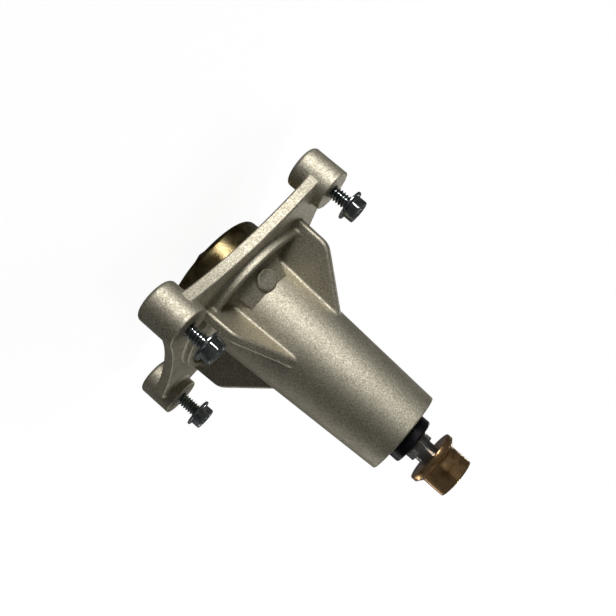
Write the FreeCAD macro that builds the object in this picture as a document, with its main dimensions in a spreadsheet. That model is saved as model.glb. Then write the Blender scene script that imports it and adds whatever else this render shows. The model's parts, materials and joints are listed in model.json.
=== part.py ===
import FreeCAD, Part
import math
import os

import Sketcher

# Deck spindle: a cast housing that bolts under a mower deck, with a shaft on two ball bearings.
# The spin axis is +Z, from the blade end to the pulley end.
# The origin is on that axis, at the blade end of the shaft. Sizes are in millimetres, turns in
# degrees.

doc = FreeCAD.newDocument("DeckSpindle")
sheet = doc.addObject("Spreadsheet::Sheet", "Sizes")

SIZES = [
    # heights, each counted from the one before it
    ("tail_length", 7.0),
    ("cup_drop", 18.0),
    ("plate_thickness", 7.0),
    ("boss_rise", 6.0),
    ("tube_rise", 111.0),
    # bolt pattern and bosses
    ("pattern_half_width", 54.0),
    ("pattern_half_depth", 57.0),
    ("boss_radius", 12.0),
    ("boss_drop", 9.3),
    ("boss_round", 2.5),
    ("boss_edge_round", 0.8),
    ("hole_depth", 18.0),
    # plate outline: how far its corners lie outside the bolt pattern and in from it
    ("plate_end_margin", 11.2),
    ("plate_end_inset", 3.0),
    ("plate_end_hollow", 9.4),
    ("plate_side_margin", 10.0),
    ("plate_side_inset", 6.0),
    ("plate_side_hollow", 7.5),
    ("plate_edge_round", 1.0),
    # raised ring with its pocket
    ("ring_radius", 50.0),
    ("ring_wall", 4.0),
    ("ring_rise", 5.0),
    ("pocket_floor", 8.5),
    ("ring_edge_round", 1.0),
    # bearing tube and lower hub
    ("tube_top_wall", 4.8),
    ("tube_draft", 5.9),
    ("hub_wall", 7.0),
    ("hub_drop", 9.0),
    ("bearing_ledge", 3.0),
    ("top_recess", 2.0),
    ("tube_edge_round", 0.8),
    ("tube_foot_round", 6.0),
    # where walls, ribs and floors of the casting run into each other
    ("casting_round", 2.0),
    # gussets
    ("gusset_overhang", 6.0),
    ("gusset_lean", 1.0),
    ("gusset_shoulder", 15.0),
    ("gusset_bend_radius", 11.0),
    ("gusset_top", 51.0),
    ("gusset_thickness", 5.6),
    ("gusset_round", 1.8),
    ("rib_root_depth", 2.0),
    # thickened foot on one side of the tube, with a round button on its slope
    ("skirt_angle", 54.0),
    ("skirt_rise", 8.6),
    ("skirt_reach", 7.0),
    ("button_radius", 6.3),
    ("button_height", 1.8),
    ("button_shift", 1.2),
    ("button_drop", 6.6),
    ("button_round", 1.5),
    # ball bearings
    ("bearing_bore_radius", 8.5),
    ("bearing_outer_radius", 20.0),
    ("bearing_width", 12.0),
    ("bearing_inset", 0.5),
    ("land_offset", 2.3),
    ("ball_radius", 3.37),
    ("ball_clearance", 0.15),
    ("cage_half_height", 4.2),
    ("cage_half_width", 1.3),
    ("seal_thickness", 0.8),
    ("seal_inset", 0.3),
    ("seal_gap", 0.25),
    ("race_round", 0.6),
    # shaft
    ("star_outer_radius", 10.2),
    ("star_inner_radius", 8.2),
    ("pilot_radius", 10.6),
    ("shoulder_radius", 12.0),
    ("spline_radius", 7.95),
    ("spline_depth", 0.7),
    ("spline_length", 5.5),
    ("neck_radius", 6.1),
    ("neck_length", 5.0),
    ("thread_radius", 7.1),
    ("thread_lead", 1.0),
    ("shaft_end_gap", 1.0),
    ("blade_hole_radius", 4.3),
    ("blade_hole_depth", 24.0),
    ("blade_hole_tip", 2.5),
    # spacer, collar and cup
    ("spacer_wall", 2.0),
    ("collar_radius", 13.8),
    ("collar_height", 9.5),
    ("collar_foot_height", 0.8),
    ("collar_round", 1.0),
    ("cup_radius", 35.0),
    ("cup_wall", 1.5),
    ("cup_depth", 14.5),
    ("cup_flare", 0.8),
    ("cup_round", 3.0),
    # pulley nut
    ("nut_flats", 23.8),
    ("nut_height", 18.5),
    ("nut_flange_radius", 15.4),
    ("nut_flange_edge", 3.6),
    ("nut_flange_slope", 2.4),
    ("nut_flange_lip", 0.6),
    ("nut_start", 0.2),
    ("nut_turn", 54.0),
    # deck bolts
    ("bolt_radius", 3.9),
    ("bolt_length", 25.0),
    ("bolt_stand_off", 11.0),
    ("bolt_far_stand_off", 13.0),
    ("bolt_1_turn", 48.0),
    ("bolt_2_turn", 10.0),
    ("bolt_3_turn", 31.0),
    ("bolt_4_turn", 16.0),
    ("bolt_tip", 1.5),
    ("bolt_tip_taper", 0.8),
    ("bolt_washer_radius", 8.7),
    ("bolt_washer_edge", 1.3),
    ("bolt_flats", 12.7),
    ("bolt_head_height", 5.6),
    ("bolt_dish_radius", 4.4),
    ("bolt_dish_depth", 0.8),
    # how far the chamfered corners of a hexagon widen for each millimetre down
    ("chamfer_spread", 1.7),
]

BALL_COUNT = 8
SPLINE_TEETH = 32
STAR_POINTS = 5
SPLINE_GROOVE_SHARE = 0.85

for row, (alias, value) in enumerate(SIZES, start=1):
    sheet.set("A%d" % row, alias)
    sheet.set("B%d" % row, str(value))
    sheet.setAlias("B%d" % row, alias)
doc.recompute()

# Levels along the axis, as expressions of the sheet's values
CUP_LOW = "Sizes.tail_length"
CUP_FLOOR_TOP = CUP_LOW + " + Sizes.cup_wall"
PLATE_LOW = CUP_LOW + " + Sizes.cup_drop"
PLATE_TOP = PLATE_LOW + " + Sizes.plate_thickness"
DECK_SEAT = PLATE_TOP + " + Sizes.boss_rise"
BOSS_LOW = PLATE_LOW + " - Sizes.boss_drop"
TUBE_TOP = DECK_SEAT + " + Sizes.tube_rise"
HUB_LOW = PLATE_LOW + " - Sizes.hub_drop"
LOWER_BEARING = HUB_LOW + " + Sizes.bearing_inset"
LOWER_BEARING_TOP = LOWER_BEARING + " + Sizes.bearing_width"
UPPER_BEARING_TOP = TUBE_TOP + " - Sizes.top_recess"
UPPER_BEARING = UPPER_BEARING_TOP + " - Sizes.bearing_width"
COLLAR_TOP = UPPER_BEARING_TOP + " + Sizes.collar_height"
SPLINE_TOP = COLLAR_TOP + " + Sizes.spline_length"
NECK_TOP = SPLINE_TOP + " + Sizes.neck_length"
NUT_LOW = NECK_TOP + " + Sizes.nut_start"
NUT_TOP = NUT_LOW + " + Sizes.nut_height"
DIAGONAL = "atan(Sizes.pattern_half_depth / Sizes.pattern_half_width)"

# Radius of the ball grooves and of the windows in a cage
GROOVE_RADIUS = "Sizes.ball_radius + Sizes.ball_clearance"

# The circle through the ball centres, and the lands that the races keep on either side of it
BALL_PITCH = "(Sizes.bearing_bore_radius + Sizes.bearing_outer_radius) / 2"
INNER_LAND = "(" + BALL_PITCH + " - Sizes.land_offset)"
OUTER_LAND = "(" + BALL_PITCH + " + Sizes.land_offset)"

# What stands round the bearings
TUBE_TOP_RADIUS = "Sizes.bearing_outer_radius + Sizes.tube_top_wall"
HUB_RADIUS = "Sizes.bearing_outer_radius + Sizes.hub_wall"
CORE_RADIUS = "Sizes.bearing_outer_radius - Sizes.bearing_ledge"
RIB_ROOT_RADIUS = "Sizes.bearing_outer_radius + Sizes.rib_root_depth"

# How near two places count as the same one
TOLERANCE = 1e-3

subparts = []


def value_of(expression):
    """The number that an expression of the sheet's values stands for."""
    return float(sheet.evalExpression(expression))


def finish(item, label):
    """Name a finished sub-part after its node and keep it for export."""
    item.Label = label
    subparts.append(item)
    return item


def bind(item, **links):
    """Tie properties of an object to expressions."""
    for prop, expression in links.items():
        item.setExpression(prop, expression)
    return item


def place(item, x="0", y="0", z="0"):
    """Tie an object's position to expressions."""
    for axis, expression in (("x", x), ("y", y), ("z", z)):
        item.setExpression("Placement.Base." + axis, expression)
    return item


def cylinder(name, radius, height, x="0", y="0", z="0"):
    item = doc.addObject("Part::Cylinder", name)
    bind(item, Radius=radius, Height=height)
    return place(item, x, y, z)


def cone(name, low_radius, top_radius, height, x="0", y="0", z="0"):
    item = doc.addObject("Part::Cone", name)
    bind(item, Radius1=low_radius, Radius2=top_radius, Height=height)
    return place(item, x, y, z)


def sphere(name, radius, x, y, z):
    item = doc.addObject("Part::Sphere", name)
    bind(item, Radius=radius)
    return place(item, x, y, z)


def hexagon(name, flats, height, turn, x="0", y="0", z="0"):
    item = doc.addObject("Part::Prism", name)
    item.Polygon = 6
    bind(item, Circumradius=flats + " / 2 / cos(30)", Height=height)
    item.Placement.Rotation = FreeCAD.Rotation(FreeCAD.Vector(0, 0, 1), 1)
    item.setExpression("Placement.Rotation.Angle", turn + " * 1 deg")
    return place(item, x, y, z)


def cut(name, base, tool):
    item = doc.addObject("Part::Cut", name)
    item.Base = base
    item.Tool = tool
    return item


def common(name, base, tool):
    item = doc.addObject("Part::Common", name)
    item.Base = base
    item.Tool = tool
    return item


def fuse(name, shapes):
    item = doc.addObject("Part::MultiFuse", name)
    item.Shapes = shapes
    item.Refine = True
    return item


def new_body(name):
    return doc.addObject("PartDesign::Body", name)


def new_sketch(body, name, role, height=None, turn=None):
    """A sketch on one of the body's own planes, moved up or turned about the plane's upright."""
    plane = [item for item in body.Origin.OriginFeatures if item.Role == role][0]
    sketch = body.newObject("Sketcher::SketchObject", name)
    sketch.AttachmentSupport = [(plane, "")]
    sketch.MapMode = "FlatFace"
    if height is not None:
        sketch.setExpression("AttachmentOffset.Base.z", height)
    if turn is not None:
        sketch.AttachmentOffset = FreeCAD.Placement(
            FreeCAD.Vector(0, 0, 0), FreeCAD.Rotation(FreeCAD.Vector(0, 1, 0), 1))
        sketch.setExpression("AttachmentOffset.Rotation.Angle", turn)
    return sketch


def pin_point(sketch, geometry, point, x, y):
    """Hold one point of a sketch at two expressions."""
    for kind, expression in (("DistanceX", x), ("DistanceY", y)):
        size = value_of(expression)
        index = sketch.addConstraint(Sketcher.Constraint(kind, -1, 1, geometry, point, size))
        sketch.setExpression("Constraints[%d]" % index, expression)


def hollow_arc(start, end, radius):
    """The arc that joins two points of an outline and bends in towards its left side."""
    chord = end - start
    outward = FreeCAD.Vector(chord.y, -chord.x, 0).normalize()
    reach = math.sqrt(radius * radius - (chord.Length / 2) ** 2)
    centre = (start + end) * 0.5 + outward * reach
    whole = Part.Circle(centre, FreeCAD.Vector(0, 0, 1), radius)
    first = math.atan2(end.y - centre.y, end.x - centre.x)
    last = math.atan2(start.y - centre.y, start.x - centre.x)
    return Part.ArcOfCircle(whole, first, last)


def outline(sketch, points, hollows=None):
    """A closed outline through points given as pairs of expressions.

    hollows gives, for the edge that starts at a point, the radius of the arc that bends it in.
    """
    hollows = hollows or {}
    count = len(points)
    spots = [FreeCAD.Vector(value_of(x), value_of(y), 0) for x, y in points]
    first = sketch.GeometryCount
    for index in range(count):
        start = spots[index]
        end = spots[(index + 1) % count]
        if index in hollows:
            sketch.addGeometry(hollow_arc(start, end, value_of(hollows[index])), False)
        else:
            sketch.addGeometry(Part.LineSegment(start, end), False)
    # a hollow arc is drawn from its far end back to its near one
    ends = [(2, 1) if index in hollows else (1, 2) for index in range(count)]
    for index in range(count):
        after = (index + 1) % count
        sketch.addConstraint(Sketcher.Constraint(
            "Coincident", first + index, ends[index][1], first + after, ends[after][0]))
    for index, (x, y) in enumerate(points):
        pin_point(sketch, first + index, ends[index][0], x, y)
    for index, radius in hollows.items():
        number = sketch.addConstraint(Sketcher.Constraint("Radius", first + index, value_of(radius)))
        sketch.setExpression("Constraints[%d]" % number, radius)
    return sketch


def circle(sketch, radius, x="0", y="0"):
    centre = FreeCAD.Vector(value_of(x), value_of(y), 0)
    index = sketch.addGeometry(Part.Circle(centre, FreeCAD.Vector(0, 0, 1), value_of(radius)), False)
    pin_point(sketch, index, 3, x, y)
    number = sketch.addConstraint(Sketcher.Constraint("Radius", index, value_of(radius)))
    sketch.setExpression("Constraints[%d]" % number, radius)
    return sketch


def revolve(body, name, points, hollows=None):
    """Turn a profile of (radius, height) pairs about the spin axis."""
    sketch = outline(new_sketch(body, name + "_profile", "XZ_Plane"), points, hollows)
    feature = body.newObject("PartDesign::Revolution", name)
    feature.Profile = sketch
    feature.ReferenceAxis = (sketch, ["V_Axis"])
    feature.Angle = 360
    return feature


def pad(body, name, sketch, length, symmetric=False):
    feature = body.newObject("PartDesign::Pad", name)
    feature.Profile = sketch
    feature.setExpression("Length", length)
    feature.Midplane = symmetric
    return feature


def pocket(body, name, sketch, depth, reverse=False):
    feature = body.newObject("PartDesign::Pocket", name)
    feature.Profile = sketch
    feature.setExpression("Length", depth)
    feature.Reversed = reverse
    return feature


def round_edges(body, name, radius, wanted):
    """Round every edge of the body for which wanted(edge) is true."""
    doc.recompute()
    base = body.Tip
    names = ["Edge%d" % number for number, edge in enumerate(base.Shape.Edges, start=1)
             if not edge.Degenerated and wanted(edge)]
    feature = body.newObject("PartDesign::Fillet", name)
    feature.Base = (base, names)
    feature.setExpression("Radius", radius)
    return feature


def is_ring(edge, radius, height, x="0", y="0"):
    """True for an edge on the circle of that radius and height about an upright axis."""
    if not isinstance(edge.Curve, Part.Circle):
        return False
    centre = edge.Curve.Center
    return (is_near(edge.Curve.Radius, radius)
            and is_near(centre.z, height)
            and math.hypot(centre.x - value_of(x), centre.y - value_of(y)) < TOLERANCE)


def is_near(number, expression):
    return abs(number - value_of(expression)) < TOLERANCE


def ends_of(edge):
    return [edge.valueAt(edge.FirstParameter), edge.valueAt(edge.LastParameter)]


def across_diagonal(point):
    """How far a point lies to the side of the nearest diagonal of the bolt pattern."""
    width = value_of("Sizes.pattern_half_width")
    depth = value_of("Sizes.pattern_half_depth")
    return abs(abs(point.x) * depth - abs(point.y) * width) / math.hypot(width, depth)


def is_beside_gusset(edge):
    return all(is_near(across_diagonal(end), "Sizes.gusset_thickness / 2") for end in ends_of(edge))


def is_gusset_corner(edge):
    """True for the edge across a gusset at its shoulder."""
    shoulder = DECK_SEAT + " + Sizes.gusset_shoulder"
    return is_beside_gusset(edge) and all(is_near(end.z, shoulder) for end in ends_of(edge))


def is_outer_edge(edge):
    """True for a straight or round edge that rises above the deck seat, not one along the tube."""
    plain = isinstance(edge.Curve, (Part.Line, Part.Circle))
    return plain and max(end.z for end in ends_of(edge)) > value_of(DECK_SEAT)


def corners():
    """The four corners of the bolt pattern as pairs of expressions."""
    for x in ("-Sizes.pattern_half_width", "Sizes.pattern_half_width"):
        for y in ("-Sizes.pattern_half_depth", "Sizes.pattern_half_depth"):
            yield x, y


def tube_radius_at(height):
    """The drafted tube's outer radius at a height above the deck seat."""
    return TUBE_TOP_RADIUS + " + Sizes.tube_draft * (1 - (%s) / Sizes.tube_rise)" % height


POCKET_FLOOR = PLATE_LOW + " + Sizes.pocket_floor"
RING_TOP = PLATE_TOP + " + Sizes.ring_rise"
RING_INSIDE = "Sizes.ring_radius - Sizes.ring_wall"
RIB_FLOOR = PLATE_LOW + " + Sizes.pocket_floor / 2"
TUBE_FOOT_RADIUS = tube_radius_at(POCKET_FLOOR + " - (" + DECK_SEAT + ")")
PLATE_HALF_WIDTH = "(Sizes.pattern_half_width + Sizes.plate_side_margin)"
PLATE_HALF_DEPTH = "(Sizes.pattern_half_depth + Sizes.plate_end_margin)"
PLATE_END = "(Sizes.pattern_half_width - Sizes.plate_end_inset)"
PLATE_SIDE = "(Sizes.pattern_half_depth - Sizes.plate_side_inset)"


def bow_radius(half_chord, depth):
    """The radius of an arc from half its chord and from how deep it bows."""
    return "(%s^2 + %s^2) / (2 * %s)" % (half_chord, depth, depth)


END_BOW = bow_radius(PLATE_END, "Sizes.plate_end_hollow")
SIDE_BOW = bow_radius(PLATE_SIDE, "Sizes.plate_side_hollow")


def make_housing():
    body = new_body("Housing")
    revolve(body, "Core", [
        ("Sizes.bearing_outer_radius", HUB_LOW),
        (HUB_RADIUS, HUB_LOW),
        (HUB_RADIUS, PLATE_LOW),
        ("Sizes.ring_radius", PLATE_LOW),
        ("Sizes.ring_radius", RING_TOP),
        (RING_INSIDE, RING_TOP),
        (RING_INSIDE, POCKET_FLOOR),
        (TUBE_FOOT_RADIUS, POCKET_FLOOR),
        (TUBE_TOP_RADIUS, TUBE_TOP),
        ("Sizes.bearing_outer_radius", TUBE_TOP),
        ("Sizes.bearing_outer_radius", UPPER_BEARING),
        (CORE_RADIUS, UPPER_BEARING),
        (CORE_RADIUS, LOWER_BEARING_TOP),
        ("Sizes.bearing_outer_radius", LOWER_BEARING_TOP),
    ])
    round_edges(body, "Tube_foot", "Sizes.tube_foot_round",
                lambda edge: is_ring(edge, TUBE_FOOT_RADIUS, POCKET_FLOOR))
    make_plate(body)
    make_bosses(body)
    for number, sign in enumerate((1, -1)):
        for side in (0, 180):
            angle = "%d deg + %d * %s" % (side, sign, DIAGONAL)
            make_gusset(body, "Gusset_%d_%d" % (number, side), angle)
    round_edges(body, "Gusset_shoulders", "Sizes.gusset_bend_radius", is_gusset_corner)
    make_skirt(body)
    round_casting(body)
    make_bolt_holes(body)
    finish(body, "housing")


def round_casting(body):
    """The rounded rims of the casting, and the fillets where its walls meet."""
    round_edges(body, "Plate_edges", "Sizes.plate_edge_round", is_plate_edge)
    round_edges(body, "Gusset_rims", "Sizes.gusset_round", lambda edge: (
        is_beside_gusset(edge) and is_outer_edge(edge)))
    round_edges(body, "Ring_edges", "Sizes.ring_edge_round", lambda edge: (
        is_ring(edge, "Sizes.ring_radius", RING_TOP) or is_ring(edge, RING_INSIDE, RING_TOP)))
    round_edges(body, "Casting_corners", "Sizes.casting_round", lambda edge: (
        is_beside_gusset(edge)
        or is_ring(edge, RING_INSIDE, POCKET_FLOOR)
        or is_ring(edge, "Sizes.ring_radius", PLATE_TOP)))
    round_edges(body, "Boss_roots", "Sizes.casting_round", lambda edge: any(
        is_ring(edge, "Sizes.boss_radius", height, x, y)
        for x, y in corners() for height in (PLATE_LOW, PLATE_TOP)))
    round_edges(body, "Tube_edge", "Sizes.tube_edge_round",
                lambda edge: is_ring(edge, TUBE_TOP_RADIUS, TUBE_TOP))


def is_plate_edge(edge):
    """True for the long bowed edges of the plate, above and below."""
    if not isinstance(edge.Curve, Part.Circle):
        return False
    bowed = is_near(edge.Curve.Radius, END_BOW) or is_near(edge.Curve.Radius, SIDE_BOW)
    return bowed and all(is_near(end.z, PLATE_LOW) or is_near(end.z, PLATE_TOP) for end in ends_of(edge))


def make_plate(body):
    """The four-cornered flange, bowed in on every side between its bosses."""
    sketch = new_sketch(body, "Plate_outline", "XY_Plane", height=PLATE_LOW)
    wide = PLATE_HALF_WIDTH
    deep = PLATE_HALF_DEPTH
    outline(sketch, [
        ("-" + PLATE_END, "-" + deep),
        (PLATE_END, "-" + deep),
        (wide, "-" + PLATE_SIDE),
        (wide, PLATE_SIDE),
        (PLATE_END, deep),
        ("-" + PLATE_END, deep),
        ("-" + wide, PLATE_SIDE),
        ("-" + wide, "-" + PLATE_SIDE),
    ], hollows={0: END_BOW, 2: SIDE_BOW, 4: END_BOW, 6: SIDE_BOW})
    circle(sketch, RING_INSIDE)
    pad(body, "Plate", sketch, "Sizes.plate_thickness")


def make_bosses(body):
    sketch = new_sketch(body, "Boss_circles", "XY_Plane", height=BOSS_LOW)
    for x, y in corners():
        circle(sketch, "Sizes.boss_radius", x, y)
    pad(body, "Bosses", sketch, "Sizes.boss_drop + Sizes.plate_thickness + Sizes.boss_rise")
    round_edges(body, "Boss_feet", "Sizes.boss_round", lambda edge: any(
        is_ring(edge, "Sizes.boss_radius", BOSS_LOW, x, y) for x, y in corners()))
    round_edges(body, "Boss_tops", "Sizes.boss_edge_round", lambda edge: any(
        is_ring(edge, "Sizes.boss_radius", DECK_SEAT, x, y) for x, y in corners()))


def make_gusset(body, name, angle):
    """A rib from the tube towards one boss, before its shoulder is rounded."""
    sketch = new_sketch(body, name + "_outline", "XZ_Plane", turn=angle)
    root = RIB_ROOT_RADIUS
    reach = "Sizes.ring_radius + Sizes.gusset_overhang"
    outline(sketch, [
        (root, RIB_FLOOR),
        (reach, RIB_FLOOR),
        (reach + " - Sizes.gusset_lean", DECK_SEAT + " + Sizes.gusset_shoulder"),
        (root, DECK_SEAT + " + Sizes.gusset_top"),
    ])
    pad(body, name, sketch, "Sizes.gusset_thickness", symmetric=True)


SKIRT_TOP = DECK_SEAT + " + Sizes.skirt_rise"
SKIRT_TOP_RADIUS = tube_radius_at("Sizes.skirt_rise")
SKIRT_FOOT_RADIUS = TUBE_FOOT_RADIUS + " + Sizes.skirt_reach"
SKIRT_LEAN = "atan((%s - (%s)) / (%s - (%s)))" % (SKIRT_FOOT_RADIUS, SKIRT_TOP_RADIUS, SKIRT_TOP, POCKET_FLOOR)


def make_skirt(body):
    """A thicker foot of the tube that slopes down to the pocket's floor over part of a turn."""
    sketch = new_sketch(body, "Skirt_profile", "YZ_Plane")
    outline(sketch, [
        ("-(" + RIB_ROOT_RADIUS + ")", RIB_FLOOR),
        ("-(" + SKIRT_FOOT_RADIUS + ")", RIB_FLOOR),
        ("-(" + SKIRT_FOOT_RADIUS + ")", POCKET_FLOOR),
        ("-(" + SKIRT_TOP_RADIUS + ")", SKIRT_TOP),
        ("-(" + RIB_ROOT_RADIUS + ")", SKIRT_TOP),
    ])
    feature = body.newObject("PartDesign::Revolution", "Skirt")
    feature.Profile = sketch
    feature.ReferenceAxis = (sketch, ["V_Axis"])
    feature.setExpression("Angle", "Sizes.skirt_angle")
    feature.Midplane = True
    make_button(body)


def make_button(body):
    """A low round button that stands square on the slope of the skirt."""
    button = body.newObject("PartDesign::AdditiveCylinder", "Button")
    button.Placement.Rotation = FreeCAD.Rotation(FreeCAD.Vector(1, 0, 0), 45)
    button.setExpression("Placement.Rotation.Angle", "90 deg - " + SKIRT_LEAN)
    place(button, "-Sizes.button_shift", "-(" + SKIRT_TOP_RADIUS + ")", SKIRT_TOP + " - Sizes.button_drop")
    bind(button, Radius="Sizes.button_radius",
         Height="Sizes.button_height + Sizes.button_drop * sin(" + SKIRT_LEAN + ")")
    round_edges(body, "Button_rim", "Sizes.button_round", lambda edge: (
        isinstance(edge.Curve, Part.Circle) and is_near(edge.Curve.Radius, "Sizes.button_radius")))


def make_bolt_holes(body):
    sketch = new_sketch(body, "Bolt_circles", "XY_Plane", height=DECK_SEAT)
    for x, y in corners():
        circle(sketch, "Sizes.bolt_radius", x, y)
    pocket(body, "Bolt_holes", sketch, "Sizes.hole_depth")


def make_shaft():
    body = new_body("Shaft")
    revolve(body, "Turned", [
        ("0", CUP_LOW),
        ("Sizes.pilot_radius", CUP_LOW),
        ("Sizes.pilot_radius", CUP_FLOOR_TOP),
        ("Sizes.shoulder_radius", CUP_FLOOR_TOP),
        ("Sizes.shoulder_radius", LOWER_BEARING),
        ("Sizes.bearing_bore_radius", LOWER_BEARING),
        ("Sizes.bearing_bore_radius", COLLAR_TOP),
        ("Sizes.spline_radius", COLLAR_TOP),
        ("Sizes.spline_radius", SPLINE_TOP),
        ("Sizes.neck_radius", SPLINE_TOP),
        ("Sizes.neck_radius", NECK_TOP),
        ("Sizes.thread_radius", NECK_TOP),
        ("Sizes.thread_radius", NUT_TOP + " - Sizes.shaft_end_gap - Sizes.thread_lead"),
        ("Sizes.thread_radius - Sizes.thread_lead", NUT_TOP + " - Sizes.shaft_end_gap"),
        ("0", NUT_TOP + " - Sizes.shaft_end_gap"),
    ])
    make_star(body)
    make_blade_hole(body)
    make_spline(body)
    finish(body, "spindle_shaft")


def make_star(body):
    """The star-shaped blade drive below the dust cup."""
    sketch = new_sketch(body, "Star_outline", "XY_Plane")
    points = []
    for number in range(2 * STAR_POINTS):
        radius = "Sizes.star_outer_radius" if number % 2 == 0 else "Sizes.star_inner_radius"
        angle = 180 * number / STAR_POINTS
        points.append(("%s * cos(%g)" % (radius, angle), "%s * sin(%g)" % (radius, angle)))
    outline(sketch, points)
    pad(body, "Star", sketch, CUP_LOW)


def make_blade_hole(body):
    """The threaded hole for the blade bolt, with a drilled tip."""
    sketch = new_sketch(body, "Blade_hole_profile", "XZ_Plane")
    outline(sketch, [
        ("0", "0"),
        ("Sizes.blade_hole_radius", "0"),
        ("Sizes.blade_hole_radius", "Sizes.blade_hole_depth"),
        ("0", "Sizes.blade_hole_depth + Sizes.blade_hole_tip"),
    ])
    groove = body.newObject("PartDesign::Groove", "Blade_hole")
    groove.Profile = sketch
    groove.ReferenceAxis = (sketch, ["V_Axis"])
    groove.Angle = 360


def make_spline(body):
    """Fine teeth for the pulley: one vee groove repeated round the shaft."""
    sketch = new_sketch(body, "Spline_groove", "XY_Plane", height=SPLINE_TOP)
    half = "Sizes.spline_radius * sin(%g)" % (180 / SPLINE_TEETH * SPLINE_GROOVE_SHARE)
    outline(sketch, [
        ("Sizes.spline_radius - Sizes.spline_depth", "0"),
        ("Sizes.spline_radius + Sizes.spline_depth", "-2 * " + half),
        ("Sizes.spline_radius + Sizes.spline_depth", "2 * " + half),
    ])
    groove = pocket(body, "Spline_cut", sketch, "Sizes.spline_length")
    pattern = body.newObject("PartDesign::PolarPattern", "Spline_teeth")
    pattern.Originals = [groove]
    pattern.Axis = (sketch, ["N_Axis"])
    pattern.Angle = 360
    pattern.Occurrences = SPLINE_TEETH
    body.Tip = pattern


def make_bearing(prefix, low):
    """A deep groove ball bearing with its lower face at an expression's height."""
    make_outer_race(prefix, low)
    make_inner_race(prefix, low)
    middle = low + " + Sizes.bearing_width / 2"
    make_balls(prefix, middle)
    make_cage(prefix, middle)
    for side, height in (
            ("lower", low + " + Sizes.seal_inset"),
            ("upper", low + " + Sizes.bearing_width - Sizes.seal_inset - Sizes.seal_thickness")):
        disc = cylinder(prefix + "_seal_disc_" + side, OUTER_LAND, "Sizes.seal_thickness",
                        z=height)
        hole = cylinder(prefix + "_seal_hole_" + side, INNER_LAND + " + Sizes.seal_gap",
                        "Sizes.seal_thickness", z=height)
        finish(cut(prefix + "_seal_" + side, disc, hole), prefix + "_" + side + "_seal")


def half_groove(land):
    """Half the width of the ball groove where it meets a race's land."""
    return "sqrt((%s)^2 - (%s - %s)^2)" % (GROOVE_RADIUS, land, BALL_PITCH)


def make_outer_race(prefix, low):
    body = new_body(prefix + "_outer")
    land = OUTER_LAND
    middle = low + " + Sizes.bearing_width / 2"
    top = low + " + Sizes.bearing_width"
    revolve(body, prefix + "_outer_turned", [
        (land, low),
        ("Sizes.bearing_outer_radius - Sizes.race_round", low),
        ("Sizes.bearing_outer_radius", low + " + Sizes.race_round"),
        ("Sizes.bearing_outer_radius", top + " - Sizes.race_round"),
        ("Sizes.bearing_outer_radius - Sizes.race_round", top),
        (land, top),
        (land, middle + " + " + half_groove(land)),
        (land, middle + " - " + half_groove(land)),
    ], hollows={6: GROOVE_RADIUS})
    finish(body, prefix + "_outer_race")


def make_inner_race(prefix, low):
    body = new_body(prefix + "_inner")
    land = INNER_LAND
    middle = low + " + Sizes.bearing_width / 2"
    top = low + " + Sizes.bearing_width"
    revolve(body, prefix + "_inner_turned", [
        ("Sizes.bearing_bore_radius + Sizes.race_round", low),
        (land, low),
        (land, middle + " - " + half_groove(land)),
        (land, middle + " + " + half_groove(land)),
        (land, top),
        ("Sizes.bearing_bore_radius + Sizes.race_round", top),
        ("Sizes.bearing_bore_radius", top + " - Sizes.race_round"),
        ("Sizes.bearing_bore_radius", low + " + Sizes.race_round"),
    ], hollows={2: GROOVE_RADIUS})
    finish(body, prefix + "_inner_race")


def make_balls(prefix, middle):
    balls = []
    for number in range(BALL_COUNT):
        angle = 360 * number / BALL_COUNT
        x = "%s * cos(%g)" % (BALL_PITCH, angle)
        y = "%s * sin(%g)" % (BALL_PITCH, angle)
        balls.append(sphere("%s_ball_%d" % (prefix, number), "Sizes.ball_radius", x, y, middle))
    group = doc.addObject("Part::Compound", prefix + "_ball_set")
    group.Links = balls
    finish(group, prefix + "_balls")


def make_cage(prefix, middle):
    """The ring that keeps the balls apart, with one round window for each."""
    body = new_body(prefix + "_cage_ring")
    outside = BALL_PITCH + " + Sizes.cage_half_width"
    inside = BALL_PITCH + " - Sizes.cage_half_width"
    foot = middle + " - Sizes.cage_half_height"
    top = middle + " + Sizes.cage_half_height"
    revolve(body, prefix + "_cage_turned", [
        (inside, foot),
        (outside, foot),
        (outside, top),
        (inside, top),
    ])
    sketch = new_sketch(body, prefix + "_window", "YZ_Plane")
    circle(sketch, GROOVE_RADIUS, "0", middle)
    window = pocket(body, prefix + "_window_cut", sketch, outside + " + Sizes.cage_half_width", reverse=True)
    pattern = body.newObject("PartDesign::PolarPattern", prefix + "_windows")
    pattern.Originals = [window]
    pattern.Axis = (sketch, ["V_Axis"])
    pattern.Angle = 360
    pattern.Occurrences = BALL_COUNT
    body.Tip = pattern
    finish(body, prefix + "_cage")


def make_spacer():
    """The tube that holds the two inner races apart."""
    body = new_body("Spacer")
    outside = "Sizes.bearing_bore_radius + Sizes.spacer_wall"
    revolve(body, "Spacer_turned", [
        ("Sizes.bearing_bore_radius", LOWER_BEARING_TOP),
        (outside, LOWER_BEARING_TOP),
        (outside, UPPER_BEARING),
        ("Sizes.bearing_bore_radius", UPPER_BEARING),
    ])
    finish(body, "bearing_spacer")


def make_collar():
    """The collar that stands on the upper inner race and carries the pulley."""
    body = new_body("Collar")
    foot_top = UPPER_BEARING_TOP + " + Sizes.collar_foot_height"
    foot_radius = INNER_LAND + " - Sizes.seal_gap"
    revolve(body, "Collar_turned", [
        ("Sizes.bearing_bore_radius", UPPER_BEARING_TOP),
        (foot_radius, UPPER_BEARING_TOP),
        (foot_radius, foot_top),
        ("Sizes.collar_radius", foot_top),
        ("Sizes.collar_radius", COLLAR_TOP),
        ("Sizes.bearing_bore_radius", COLLAR_TOP),
    ])
    round_edges(body, "Collar_edge", "Sizes.collar_round",
                lambda edge: is_ring(edge, "Sizes.collar_radius", COLLAR_TOP))
    finish(body, "top_collar")


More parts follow.
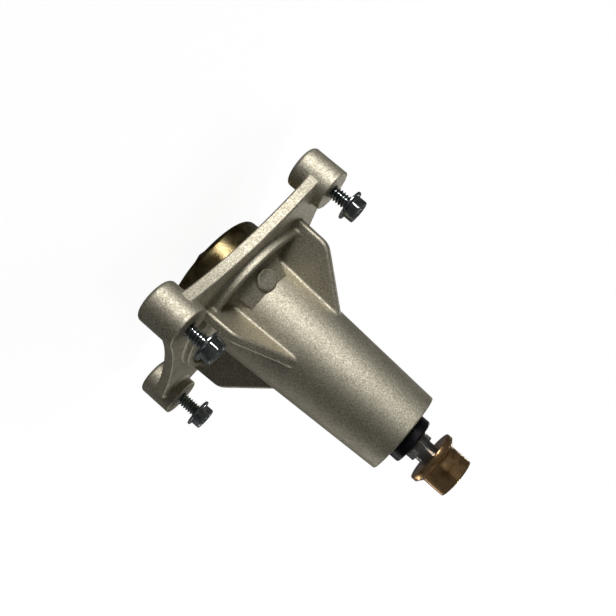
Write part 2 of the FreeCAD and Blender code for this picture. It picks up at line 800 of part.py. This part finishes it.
def make_cup():
    """The pressed cup that turns round the lower hub and keeps grass out of the bearing."""
    body = new_body("Cup")
    rim = CUP_LOW + " + Sizes.cup_depth"
    revolve(body, "Cup_pressed", [
        ("Sizes.pilot_radius", CUP_LOW),
        ("Sizes.cup_radius - Sizes.cup_flare", CUP_LOW),
        ("Sizes.cup_radius", rim),
        ("Sizes.cup_radius - Sizes.cup_wall", rim),
        ("Sizes.cup_radius - Sizes.cup_flare - Sizes.cup_wall", CUP_FLOOR_TOP),
        ("Sizes.pilot_radius", CUP_FLOOR_TOP),
    ])
    round_edges(body, "Cup_outer_bend", "Sizes.cup_round",
                lambda edge: is_ring(edge, "Sizes.cup_radius - Sizes.cup_flare", CUP_LOW))
    round_edges(body, "Cup_inner_bend", "Sizes.cup_round - Sizes.cup_wall",
                lambda edge: is_ring(edge, "Sizes.cup_radius - Sizes.cup_flare - Sizes.cup_wall",
                                     CUP_FLOOR_TOP))
    finish(body, "blade_dust_cup")


def chamfered_hexagon(prefix, flats, low, height, turn, x="0", y="0"):
    """A hexagon whose top corners are cut off by a cone."""
    block = hexagon(prefix + "_hexagon", flats, height, turn, x, y, low)
    top_radius = flats + " / 2"
    low_radius = top_radius + " + (" + height + ") * Sizes.chamfer_spread"
    chamfer = cone(prefix + "_chamfer", low_radius, top_radius, height, x, y, low)
    return common(prefix + "_hex", block, chamfer)


def make_nut():
    flange_top = NUT_LOW + " + Sizes.nut_flange_edge"
    flange = cylinder("Nut_flange", "Sizes.nut_flange_radius", "Sizes.nut_flange_edge", z=NUT_LOW)
    slope = cone("Nut_slope", "Sizes.nut_flange_radius - Sizes.nut_flange_lip", "Sizes.nut_flats / 2",
                 "Sizes.nut_flange_slope", z=flange_top)
    block = chamfered_hexagon("Nut", "Sizes.nut_flats", NUT_LOW, "Sizes.nut_height", "Sizes.nut_turn")
    solid = fuse("Nut_solid", [flange, slope, block])
    bore = cylinder("Nut_bore", "Sizes.thread_radius", "Sizes.nut_height", z=NUT_LOW)
    finish(cut("Nut_shape", solid, bore), "pulley_nut")


def make_bolt(number, x, y, stand_off):
    """A hex washer head bolt, driven part of the way into its boss."""
    prefix = "Bolt_%d" % number
    seat = DECK_SEAT + " + " + stand_off
    tip = seat + " - Sizes.bolt_length"
    point = cone(prefix + "_point", "Sizes.bolt_radius - Sizes.bolt_tip_taper", "Sizes.bolt_radius",
                 "Sizes.bolt_tip", x, y, tip)
    shank = cylinder(prefix + "_shank", "Sizes.bolt_radius", "Sizes.bolt_length - Sizes.bolt_tip",
                     x, y, tip + " + Sizes.bolt_tip")
    washer = cylinder(prefix + "_washer", "Sizes.bolt_washer_radius", "Sizes.bolt_washer_edge", x, y, seat)
    height = "Sizes.bolt_washer_edge + Sizes.bolt_head_height"
    turn = "Sizes.bolt_%d_turn" % number
    block = chamfered_hexagon(prefix, "Sizes.bolt_flats", seat, height, turn, x, y)
    solid = fuse(prefix + "_solid", [point, shank, washer, block])
    dish = cylinder(prefix + "_dish", "Sizes.bolt_dish_radius", "Sizes.bolt_dish_depth", x, y,
                    seat + " + " + height + " - Sizes.bolt_dish_depth")
    finish(cut(prefix + "_shape", solid, dish), "deck_bolt_%d" % number)


def check(item):
    """Stop if an object of the document failed."""
    if "Invalid" in item.State or "Error" in item.State:
        raise RuntimeError("%s failed: %s" % (item.Name, item.State))


make_housing()
make_shaft()
make_bearing("lower_bearing", LOWER_BEARING)
make_bearing("upper_bearing", UPPER_BEARING)
make_spacer()
make_collar()
make_cup()
make_nut()
for bolt_number, (bolt_x, bolt_y) in enumerate(corners(), start=1):
    far = bolt_number == 4
    make_bolt(bolt_number, bolt_x, bolt_y, "Sizes.bolt_far_stand_off" if far else "Sizes.bolt_stand_off")

doc.recompute()
for item in doc.Objects:
    check(item)

os.makedirs("parts", exist_ok=True)
for item in subparts:
    shape = item.Shape
    if shape.isNull() or not shape.isValid():
        raise RuntimeError("no sound shape for " + item.Label)
    print("%-28s %10.1f mm3  solids %d" % (item.Label, shape.Volume, len(shape.Solids)))
for item in subparts:
    item.Shape.exportStep("parts/%s.step" % item.Label)
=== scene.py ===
import json
import math

import bpy
from mathutils import Matrix, Vector


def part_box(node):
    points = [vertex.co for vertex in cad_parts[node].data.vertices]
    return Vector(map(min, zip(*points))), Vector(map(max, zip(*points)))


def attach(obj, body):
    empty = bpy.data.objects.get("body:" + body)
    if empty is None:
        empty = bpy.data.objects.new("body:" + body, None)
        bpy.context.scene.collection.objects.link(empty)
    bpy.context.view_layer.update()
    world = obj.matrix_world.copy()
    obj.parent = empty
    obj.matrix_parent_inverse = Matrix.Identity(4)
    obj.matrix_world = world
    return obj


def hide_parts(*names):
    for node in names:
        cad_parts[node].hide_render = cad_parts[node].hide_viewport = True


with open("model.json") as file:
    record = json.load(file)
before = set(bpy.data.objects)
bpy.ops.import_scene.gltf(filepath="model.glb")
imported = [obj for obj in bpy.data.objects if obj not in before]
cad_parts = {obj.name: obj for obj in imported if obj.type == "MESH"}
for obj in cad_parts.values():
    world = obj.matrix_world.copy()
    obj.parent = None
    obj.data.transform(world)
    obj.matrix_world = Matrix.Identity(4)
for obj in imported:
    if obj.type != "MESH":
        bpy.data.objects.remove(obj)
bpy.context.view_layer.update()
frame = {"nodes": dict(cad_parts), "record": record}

MM = 0.001
TAU = 2 * math.pi

# The camera stands where the photograph was taken from and is turned about its own line of sight,
# because the spindle lies across the picture. Places are in metres, the lens in millimetres.
CAMERA_PLACE = Vector((0.1528, -0.3757, 0.1138))
CAMERA_TARGET = Vector((-0.0163, -0.0075, 0.0645))
CAMERA_ROLL = math.radians(130.6)
SENSOR_WIDTH = 36.0
LENS = 42.64

# Deck bolts: sizes in millimetres and turns in degrees, as in the solids that these pieces replace.
# The solids have no thread and no rounded edges.
BOLT_LENGTH = 25.0
BOLT_CREST = 3.9
BOLT_ROOT = 2.95
BOLT_PITCH = 1.75
BOLT_TIP = 1.5
BOLT_TIP_SHARE = 0.8
BOLT_TURNS = (48, 10, 31, 16)
WASHER_RADIUS = 8.7
WASHER_THICKNESS = 1.3
WASHER_ROUND = 0.35
BOLT_FLATS = 12.7
BOLT_HEAD = 5.6
BOLT_CORNER_ROUND = 0.5
BOLT_FOOT_ROUND = 0.4
DISH_RADIUS = 4.4
DISH_DEPTH = 0.8

# The dish's rounded lip: how far each row lies outside the dish's radius and below the head's top
DISH_LIP = ((0.35, 0.0), (0.1, 0.1), (-0.1, 0.5), (-0.5, DISH_DEPTH))

# The last row of the thread stands a little below the washer
THREAD_STOP = -0.05

# Shape of a thread ridge: how steeply its flanks rise, and how much of that is cut off as flat root
FLANK_RISE = 1.9
FLAT_ROOT = 0.75

# Fineness of the bolts: points round the axis, and rows to one pitch of thread
BOLT_SEGMENTS = 144
ROWS_PER_PITCH = 14

# Pulley nut, in the same units
NUT_FLATS = 23.8
NUT_HEIGHT = 18.5
NUT_FLANGE_RADIUS = 15.4
NUT_FLANGE_EDGE = 3.6
NUT_FLANGE_SLOPE = 2.4
NUT_FLANGE_ROUND = 0.6
NUT_SLOPE_BLEND = 0.5
NUT_CORNER_ROUND = 0.8
NUT_BORE = 7.1
NUT_LOW_CHAMFER = 0.6
NUT_TOP_CHAMFER_WIDTH = 0.9
NUT_TOP_CHAMFER_DEPTH = 0.7
NUT_TURN = 54

# Fineness of the nut: points round the axis, rows on the flange's slope and up the sides
NUT_SEGMENTS = 240
NUT_SLOPE_ROWS = 8
NUT_SIDE_ROWS = 40

# How much the chamfered corners of a hexagon widen for each millimetre down
CHAMFER_SPREAD = 1.7

# Rows round a corner of a washer or flange, up the fillet at a head's foot and up its sides
RIM_ROWS = 4
FOOT_ROWS = 3
HEAD_ROWS = 26

# Edges of a fastener that turn by more degrees than this are shaded sharp
SHARP_ANGLE = 35

# Deep and pale tone of the yellow zinc on the cup and on the nut
CUP_TONES = ((0.09, 0.05, 0.012), (0.38, 0.30, 0.15))
NUT_TONES = ((0.38, 0.19, 0.07), (0.80, 0.51, 0.24))

# Square lamps: name, direction from the part, distance and width in metres, watts.
# The key lamp stands below the floor, which lets its light through: the photograph is lit from the
# blade end.
LAMP_TARGET = Vector((0.0, 0.0, 0.08))
LAMPS = (
    ("key", (-0.24, -0.945, -0.22), 0.9, 0.25, 5.6),
    ("above", (-0.15, 0.35, 0.93), 1.1, 0.6, 1.4),
    ("back_left", (-0.8, 0.7, 0.5), 1.1, 0.4, 1.4),
    ("back_right", (0.8, 0.8, 0.4), 1.1, 0.4, 1.4),
)

# How much of the white backdrop shows in metal, by way of the room and of the floor
ROOM_IN_METAL = 0.02
FLOOR_IN_METAL = 0.02

# Floor: half its width and its drop below the part in metres, its glow, and the distances over
# which it fades into the backdrop
FLOOR_HALF_WIDTH = 6.0
FLOOR_DROP = 0.0005
FLOOR_GLOW = 0.94
FADE_START = 0.15
FADE_END = 0.5

# Sockets of a Mix node that mixes colours
MIX_FACTOR, MIX_FIRST, MIX_SECOND = 0, 6, 7
MIX_RESULT = 2


def material(name):
    """A new node material; returns it with its node tree and its shader."""
    made = bpy.data.materials.new(name)
    made.use_nodes = True
    tree = made.node_tree
    return made, tree, tree.nodes["Principled BSDF"]


def node(tree, kind, **values):
    """Add a node and set its inputs or properties by name."""
    made = tree.nodes.new(kind)
    for key, value in values.items():
        label = key.replace("_", " ")
        if label in made.inputs:
            made.inputs[label].default_value = value
        else:
            setattr(made, key, value)
    return made


def place_vector(tree):
    """Where a surface point lies in the part's own frame."""
    return tree.nodes.new("ShaderNodeTexCoord").outputs["Object"]


def noise(tree, vector, scale, detail=3.0, roughness=0.55):
    """A noise pattern of 0 to 1; its scale is in waves to the metre."""
    made = node(tree, "ShaderNodeTexNoise", Scale=scale, Detail=detail, Roughness=roughness)
    tree.links.new(vector, made.inputs["Vector"])
    return made.outputs["Fac"]


def ramp(tree, factor, stops):
    """A colour ramp through (position, colour) stops."""
    made = tree.nodes.new("ShaderNodeValToRGB")
    band = made.color_ramp
    while len(band.elements) < len(stops):
        band.elements.new(0.5)
    for element, (position, colour) in zip(band.elements, stops):
        element.position = position
        element.color = (*colour, 1.0)
    tree.links.new(factor, made.inputs["Fac"])
    return made.outputs["Color"]


def spread(tree, factor, low, high):
    """Map a factor of 0 to 1 on to a range of numbers."""
    made = node(tree, "ShaderNodeMapRange")
    made.inputs["To Min"].default_value = low
    made.inputs["To Max"].default_value = high
    tree.links.new(factor, made.inputs["Value"])
    return made.outputs["Result"]


def math_node(tree, operation, first, second):
    """The result of one operation on two numbers or outputs."""
    made = tree.nodes.new("ShaderNodeMath")
    made.operation = operation
    for socket, value in zip(made.inputs, (first, second)):
        if isinstance(value, (int, float)):
            socket.default_value = value
        else:
            tree.links.new(value, socket)
    return made.outputs["Value"]


def bump(tree, height, distance, strength):
    """Relief from a pattern, up to a distance in metres."""
    made = node(tree, "ShaderNodeBump", Strength=strength, Distance=distance)
    tree.links.new(height, made.inputs["Height"])
    return made.outputs["Normal"]


def multiply_colours(tree, first, second):
    """One colour output darkened by another."""
    made = tree.nodes.new("ShaderNodeMix")
    made.data_type = "RGBA"
    made.blend_type = "MULTIPLY"
    made.inputs[MIX_FACTOR].default_value = 1.0
    tree.links.new(first, made.inputs[MIX_FIRST])
    tree.links.new(second, made.inputs[MIX_SECOND])
    return made.outputs[MIX_RESULT]


def cast_aluminium():
    """A shot-blasted casting: fine bright and dark grains over a slow mottle."""
    made, tree, shader = material("cast_aluminium")
    where = place_vector(tree)
    grain = noise(tree, where, scale=1300.0, detail=2.0, roughness=0.7)
    mottle = noise(tree, where, scale=70.0, detail=4.0)
    base = ramp(tree, grain, [
        (0.32, (0.36, 0.33, 0.25)),
        (0.5, (0.56, 0.52, 0.41)),
        (0.7, (0.80, 0.76, 0.64)),
    ])
    slow = ramp(tree, mottle, [(0.3, (0.88, 0.87, 0.86)), (0.7, (1.0, 1.0, 1.0))])
    tree.links.new(multiply_colours(tree, base, slow), shader.inputs["Base Color"])
    tree.links.new(spread(tree, grain, low=0.68, high=0.52), shader.inputs["Roughness"])
    tree.links.new(bump(tree, grain, distance=0.0002, strength=0.5), shader.inputs["Normal"])
    shader.inputs["Metallic"].default_value = 1.0
    return made


def turned_steel():
    """Bright turned steel with fine rings round the axis."""
    made, tree, shader = material("turned_steel")
    where = place_vector(tree)
    rings = node(tree, "ShaderNodeTexWave", Scale=900.0, Distortion=1.5, bands_direction="Z")
    tree.links.new(where, rings.inputs["Vector"])
    stain = noise(tree, where, scale=160.0)
    tree.links.new(ramp(tree, stain, [(0.3, (0.24, 0.235, 0.22)), (0.7, (0.48, 0.47, 0.44))]),
                   shader.inputs["Base Color"])
    tree.links.new(spread(tree, stain, low=0.14, high=0.26), shader.inputs["Roughness"])
    tree.links.new(bump(tree, rings.outputs["Fac"], distance=0.00003, strength=0.5),
                   shader.inputs["Normal"])
    shader.inputs["Metallic"].default_value = 1.0
    return made


def clouded(name, scale, stops, rough, metallic=1.0):
    """A finish whose tone and roughness drift with one noise pattern."""
    made, tree, shader = material(name)
    drift = noise(tree, place_vector(tree), scale)
    tree.links.new(ramp(tree, drift, stops), shader.inputs["Base Color"])
    tree.links.new(spread(tree, drift, *rough), shader.inputs["Roughness"])
    shader.inputs["Metallic"].default_value = metallic
    return made


def bearing_steel():
    """Ground races and polished balls."""
    stops = [(0.3, (0.60, 0.60, 0.61)), (0.7, (0.74, 0.74, 0.75))]
    return clouded("bearing_steel", 300.0, stops, rough=(0.12, 0.24))


def cage_steel():
    """The pressed strip of a ball cage."""
    stops = [(0.3, (0.38, 0.35, 0.30)), (0.7, (0.52, 0.49, 0.42))]
    return clouded("cage_steel", 500.0, stops, rough=(0.35, 0.5))


def seal_rubber():
    """Black rubber with a little dust."""
    stops = [(0.4, (0.012, 0.012, 0.012)), (0.75, (0.05, 0.048, 0.045))]
    return clouded("seal_rubber", 400.0, stops, rough=(0.45, 0.65), metallic=0.0)


def clear_zinc():
    """Bright bluish zinc plating."""
    stops = [(0.3, (0.16, 0.19, 0.20)), (0.65, (0.56, 0.60, 0.60))]
    return clouded("clear_zinc", 220.0, stops, rough=(0.11, 0.20))


def black_oxide():
    """Blackened steel, a little worn."""
    made, tree, shader = material("black_oxide")
    where = place_vector(tree)
    wear = noise(tree, where, scale=350.0, detail=4.0)
    tree.links.new(ramp(tree, wear, [(0.35, (0.004, 0.003, 0.005)), (0.75, (0.020, 0.017, 0.022))]),
                   shader.inputs["Base Color"])
    tree.links.new(spread(tree, wear, low=0.26, high=0.42), shader.inputs["Roughness"])
    tree.links.new(bump(tree, wear, distance=0.00004, strength=0.4), shader.inputs["Normal"])
    shader.inputs["Metallic"].default_value = 0.6
    return made


def yellow_zinc(name, deep, pale):
    """Yellow zinc plating: gold that drifts towards copper, with fine tool marks."""
    made, tree, shader = material(name)
    where = place_vector(tree)
    drift = noise(tree, where, scale=110.0)
    marks = noise(tree, where, scale=900.0, detail=2.0)
    tree.links.new(ramp(tree, drift, [(0.32, deep), (0.55, pale), (0.75, deep)]),
                   shader.inputs["Base Color"])
    tree.links.new(spread(tree, marks, low=0.14, high=0.30), shader.inputs["Roughness"])
    tree.links.new(bump(tree, marks, distance=0.00006, strength=0.35), shader.inputs["Normal"])
    shader.inputs["Metallic"].default_value = 1.0
    shader.inputs["Coat Weight"].default_value = 0.3
    shader.inputs["Coat Roughness"].default_value = 0.15
    return made


def dress_cad_nodes():
    """Give each node of the frame the finish of its material slot."""
    finishes = {
        "cast_aluminium": cast_aluminium(),
        "shaft_steel": turned_steel(),
        "bearing_steel": bearing_steel(),
        "cage_steel": cage_steel(),
        "seal_rubber": seal_rubber(),
        "black_steel": black_oxide(),
        "yellow_zinc": yellow_zinc("yellow_zinc_cup", *CUP_TONES),
        "clear_zinc": clear_zinc(),
    }
    slots = {entry["node"]: entry["material_slot"] for entry in frame["record"]["subparts"]}
    for name, item in frame["nodes"].items():
        item.data.materials.clear()
        item.data.materials.append(finishes[slots[name]])
    return finishes


def hex_radius(angle, flats):
    """Distance from the centre to a hexagon's side in a direction; its corners begin at angle 0."""
    off_flat = angle % (math.pi / 3) - math.pi / 6
    return flats / 2 / math.cos(off_flat)


def soft_least(first, second, blend):
    """The smaller of two lengths, with the corner between them rounded."""
    gap = max(blend - abs(first - second), 0.0) / blend
    return min(first, second) - gap * gap * blend / 4


def chamfered_hexagon(flats, top, corner):
    """Radius of a hexagonal head at an angle and height, its corners rounded and chamfered."""
    corner_radius = flats / 2 / math.cos(math.pi / 6) - corner

    def radius(angle, height):
        side = soft_least(hex_radius(angle, flats), corner_radius, corner * 2)
        chamfer = flats / 2 + (top - height) * CHAMFER_SPREAD
        return soft_least(side, chamfer, corner)
    return radius


def polar_mesh(name, rows, segments, tips=None):
    """A closed skin through rows of points round +Z; each row gives (radius, height) at an angle.

    The first and last row close on the axis at the two heights in tips. Without tips they join.
    """
    points = []
    for row in rows:
        for number in range(segments):
            angle = TAU * number / segments
            radius, height = row(angle)
            point = (radius * math.cos(angle), radius * math.sin(angle), height)
            points.append([length * MM for length in point])
    faces = []
    count = len(rows)
    for line in range(count - 1 if tips else count):
        low = line * segments
        high = (line + 1) % count * segments
        for number in range(segments):
            after = (number + 1) % segments
            faces.append((low + number, low + after, high + after, high + number))
    if tips:
        last = (count - 1) * segments
        low_tip = len(points)
        high_tip = low_tip + 1
        points += [(0, 0, tips[0] * MM), (0, 0, tips[1] * MM)]
        for number in range(segments):
            after = (number + 1) % segments
            faces.append((low_tip, after, number))
            faces.append((high_tip, last + number, last + after))
    mesh = bpy.data.meshes.new(name)
    mesh.from_pydata(points, [], faces)
    if mesh.validate():
        raise RuntimeError("bad faces in " + name)
    return mesh


def add_piece(name, mesh, finish, body, turn, at):
    """Place a mesh as a finished piece: turned by degrees about its axis, moved by millimetres."""
    turned = Matrix.Rotation(math.radians(turn), 4, "Z")
    mesh.transform(Matrix.Translation(Vector(at) * MM) @ turned)
    mesh.materials.append(finish)
    mesh.shade_smooth()
    mesh.set_sharp_from_angle(angle=math.radians(SHARP_ANGLE))
    item = bpy.data.objects.new(name, mesh)
    bpy.context.scene.collection.objects.link(item)
    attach(item, body)
    return item


def level(radius, height):
    """A round row at one height."""
    return lambda angle: (radius, height)


def thread_row(root, crest, pitch, height, taper):
    """A row of a helical thread with narrow crests and wide flat roots."""
    def point(angle):
        turn = (height / pitch - angle / TAU) % 1.0
        rise = min(max(FLANK_RISE * (1 - abs(2 * turn - 1)) - FLAT_ROOT, 0.0), 1.0)
        return (root + (crest - root) * rise) * taper, height
    return point


def bolt_rows():
    """From the tip up the thread, round the washer, over the head and into its dish."""
    rows = []
    count = int(BOLT_LENGTH / BOLT_PITCH * ROWS_PER_PITCH)
    for number in range(count):
        height = BOLT_LENGTH * number / count - BOLT_LENGTH
        whole = min((height + BOLT_LENGTH) / BOLT_TIP, 1.0)
        taper = BOLT_TIP_SHARE + (1 - BOLT_TIP_SHARE) * whole
        rows.append(thread_row(BOLT_ROOT, BOLT_CREST, BOLT_PITCH, height, taper))
    rows.append(level(BOLT_ROOT, THREAD_STOP))
    rows += rounded_rim(WASHER_RADIUS, 0.0, WASHER_THICKNESS, WASHER_ROUND)
    top = WASHER_THICKNESS + BOLT_HEAD
    head = chamfered_hexagon(BOLT_FLATS, top, BOLT_CORNER_ROUND)
    rows += head_rows(head, WASHER_THICKNESS, top, BOLT_FOOT_ROUND)
    rows += [level(DISH_RADIUS + out, top - drop) for out, drop in DISH_LIP]
    return rows


def rounded_rim(radius, low, high, edge):
    """The outer edge of a washer or flange, its two corners rounded."""
    bends = [math.pi / 2 * number / RIM_ROWS for number in range(RIM_ROWS + 1)]
    inner = radius - edge
    rows = [level(inner + edge * math.sin(bend), low + edge - edge * math.cos(bend))
            for bend in bends]
    rows += [level(inner + edge * math.cos(bend), high - edge + edge * math.sin(bend))
             for bend in bends]
    return rows


def head_rows(head, low, high, foot_round):
    """The sides of a hexagonal head, from a small fillet at its foot to its top edge."""
    rows = []
    for number in range(FOOT_ROWS + 1):
        share = number / FOOT_ROWS
        out = foot_round * (1 - math.sin(share * math.pi / 2))
        height = low + foot_round * (1 - math.cos(share * math.pi / 2))
        rows.append(lambda angle, out=out, height=height: (head(angle, height) + out, height))
    base = low + foot_round
    for number in range(1, HEAD_ROWS + 1):
        height = base + (high - base) * number / HEAD_ROWS
        rows.append(lambda angle, height=height: (head(angle, height), height))
    return rows


def make_bolts(finish):
    """One dressed bolt over each of the four solids, at the same place and turn."""
    head = WASHER_THICKNESS + BOLT_HEAD
    tips = (-BOLT_LENGTH, head - DISH_DEPTH)
    mesh = polar_mesh("deck_bolt_skin", bolt_rows(), BOLT_SEGMENTS, tips)
    for number, turn in enumerate(BOLT_TURNS, start=1):
        name = "deck_bolt_%d" % number
        low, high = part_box(name)
        centre = (low + high) / 2 / MM
        place = (centre.x, centre.y, high.z / MM - head)
        copy = mesh.copy()
        item = add_piece(name + "_dressed", copy, finish, "housing", turn, place)
        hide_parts(name)


def nut_rows():
    """From the bore round the flange, up its slope and the sides, and back into the bore."""
    top = NUT_HEIGHT
    head = chamfered_hexagon(NUT_FLATS, top, NUT_CORNER_ROUND)
    slope_foot = NUT_FLANGE_RADIUS - NUT_FLANGE_ROUND
    slope_top = NUT_FLANGE_EDGE + NUT_FLANGE_SLOPE
    rows = [level(NUT_BORE, NUT_LOW_CHAMFER), level(NUT_BORE + NUT_LOW_CHAMFER, 0.0)]
    rows += rounded_rim(NUT_FLANGE_RADIUS, 0.0, NUT_FLANGE_EDGE, NUT_FLANGE_ROUND)

    def slope_row(height):
        share = (height - NUT_FLANGE_EDGE) / NUT_FLANGE_SLOPE
        ring = slope_foot + (NUT_FLATS / 2 - slope_foot) * share
        return lambda angle: (-soft_least(-ring, -head(angle, height), NUT_SLOPE_BLEND), height)

    for number in range(NUT_SLOPE_ROWS + 1):
        rows.append(slope_row(NUT_FLANGE_EDGE + NUT_FLANGE_SLOPE * number / NUT_SLOPE_ROWS))
    for number in range(1, NUT_SIDE_ROWS + 1):
        height = slope_top + (top - slope_top) * number / NUT_SIDE_ROWS
        rows.append(lambda angle, height=height: (head(angle, height), height))
    rows += [level(NUT_BORE + NUT_TOP_CHAMFER_WIDTH, top),
             level(NUT_BORE, top - NUT_TOP_CHAMFER_DEPTH)]
    return rows


def make_nut(finish):
    """The dressed pulley nut over its solid."""
    low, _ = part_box("pulley_nut")
    mesh = polar_mesh("pulley_nut_skin", nut_rows(), NUT_SEGMENTS)
    place = (0.0, 0.0, low.z / MM)
    item = add_piece("pulley_nut_dressed", mesh, finish, "spindle", NUT_TURN, place)
    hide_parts("pulley_nut")


def make_camera():
    """The photograph's camera, made the camera of the scene."""
    data = bpy.data.cameras.new("camera")
    data.sensor_fit = "HORIZONTAL"
    data.sensor_width = SENSOR_WIDTH
    data.lens = LENS
    item = bpy.data.objects.new("camera", data)
    bpy.context.scene.collection.objects.link(item)
    aim = (CAMERA_TARGET - CAMERA_PLACE).to_track_quat("-Z", "Y").to_matrix().to_4x4()
    roll = Matrix.Rotation(CAMERA_ROLL, 4, "Z")
    item.matrix_world = Matrix.Translation(CAMERA_PLACE) @ aim @ roll
    bpy.context.scene.camera = item


def make_lamp(name, direction, distance, size, power):
    """A soft square lamp in a direction from the middle of the part, facing it."""
    data = bpy.data.lights.new(name, "AREA")
    data.shape = "SQUARE"
    data.size = size
    data.energy = power
    # A mirrored ray would meet the floor before the lamp below it, so metal is lit only by rays
    # that are sent to the lamps
    data.cycles.use_multiple_importance_sampling = False
    item = bpy.data.objects.new(name, data)
    bpy.context.scene.collection.objects.link(item)
    item.location = LAMP_TARGET + Vector(direction).normalized() * distance
    item.rotation_euler = (LAMP_TARGET - item.location).to_track_quat("-Z", "Y").to_euler()


def seen_share(tree, glossy_share):
    """How far a ray meets the white backdrop: fully from the camera or glass, in part off metal."""
    rays = tree.nodes.new("ShaderNodeLightPath")
    straight = math_node(tree, "MAXIMUM", rays.outputs["Is Camera Ray"],
                         rays.outputs["Is Transmission Ray"])
    mirrored = math_node(tree, "MULTIPLY", rays.outputs["Is Glossy Ray"], glossy_share)
    return math_node(tree, "MAXIMUM", straight, mirrored)


def make_world():
    """A studio, dim before the part and paler behind it, and white where it is the backdrop."""
    world = bpy.data.worlds.new("room")
    bpy.context.scene.world = world
    world.use_nodes = True
    tree = world.node_tree
    room = tree.nodes["Background"]
    direction = tree.nodes.new("ShaderNodeTexCoord").outputs["Generated"]
    parts = tree.nodes.new("ShaderNodeSeparateXYZ")
    tree.links.new(direction, parts.inputs["Vector"])
    behind = spread(tree, parts.outputs["Y"], low=0.5, high=1.0)
    tree.links.new(ramp(tree, behind, [(0.2, (0.012, 0.012, 0.012)), (0.9, (0.09, 0.09, 0.09))]),
                   room.inputs["Color"])
    white = node(tree, "ShaderNodeBackground", Color=(1.0, 1.0, 1.0, 1.0), Strength=1.0)
    mixer = tree.nodes.new("ShaderNodeMixShader")
    tree.links.new(seen_share(tree, ROOM_IN_METAL), mixer.inputs["Fac"])
    tree.links.new(room.outputs["Background"], mixer.inputs[1])
    tree.links.new(white.outputs["Background"], mixer.inputs[2])
    tree.links.new(mixer.outputs["Shader"], tree.nodes["World Output"].inputs["Surface"])


def floor_finish():
    """Pale near the part, where it takes the shadow, and white like the backdrop further out."""
    made, tree, shader = material("floor")
    where = place_vector(tree)
    cloud = noise(tree, where, scale=8.0)
    tree.links.new(ramp(tree, cloud, [(0.3, (0.19, 0.19, 0.19)), (0.7, (0.21, 0.21, 0.21))]),
                   shader.inputs["Base Color"])
    shader.inputs["Roughness"].default_value = 0.8
    glow = node(tree, "ShaderNodeEmission", Color=(1.0, 1.0, 1.0, 1.0), Strength=FLOOR_GLOW)
    lit = tree.nodes.new("ShaderNodeAddShader")
    tree.links.new(shader.outputs["BSDF"], lit.inputs[0])
    tree.links.new(glow.outputs["Emission"], lit.inputs[1])
    far_off = tree.nodes.new("ShaderNodeVectorMath")
    far_off.operation = "LENGTH"
    tree.links.new(where, far_off.inputs[0])
    fade = tree.nodes.new("ShaderNodeMapRange")
    fade.interpolation_type = "SMOOTHSTEP"
    fade.inputs["From Min"].default_value = FADE_START
    fade.inputs["From Max"].default_value = FADE_END
    tree.links.new(far_off.outputs["Value"], fade.inputs["Value"])
    white = node(tree, "ShaderNodeEmission", Color=(1.0, 1.0, 1.0, 1.0), Strength=1.0)
    faded = tree.nodes.new("ShaderNodeMixShader")
    tree.links.new(fade.outputs["Result"], faded.inputs["Fac"])
    tree.links.new(lit.outputs["Shader"], faded.inputs[1])
    tree.links.new(white.outputs["Emission"], faded.inputs[2])
    mixer = tree.nodes.new("ShaderNodeMixShader")
    tree.links.new(seen_share(tree, FLOOR_IN_METAL), mixer.inputs["Fac"])
    tree.links.new(shader.outputs["BSDF"], mixer.inputs[1])
    tree.links.new(faded.outputs["Shader"], mixer.inputs[2])
    tree.links.new(mixer.outputs["Shader"], tree.nodes["Material Output"].inputs["Surface"])
    return made


def make_floor():
    """The ground under the part. It throws no shadow, so the key lamp shines through it."""
    half = FLOOR_HALF_WIDTH
    corners = [(-half, -half, 0), (half, -half, 0), (half, half, 0), (-half, half, 0)]
    mesh = bpy.data.meshes.new("floor")
    mesh.from_pydata(corners, [], [(0, 1, 2, 3)])
    item = bpy.data.objects.new("floor", mesh)
    bpy.context.scene.collection.objects.link(item)
    item.location.z = -FLOOR_DROP
    item.visible_shadow = False
    mesh.materials.append(floor_finish())


make_camera()
finishes = dress_cad_nodes()
make_bolts(finishes["clear_zinc"])
make_nut(yellow_zinc("yellow_zinc_nut", *NUT_TONES))
for lamp in LAMPS:
    make_lamp(*lamp)
make_world()
make_floor()
bpy.context.scene.view_settings.view_transform = "Standard"
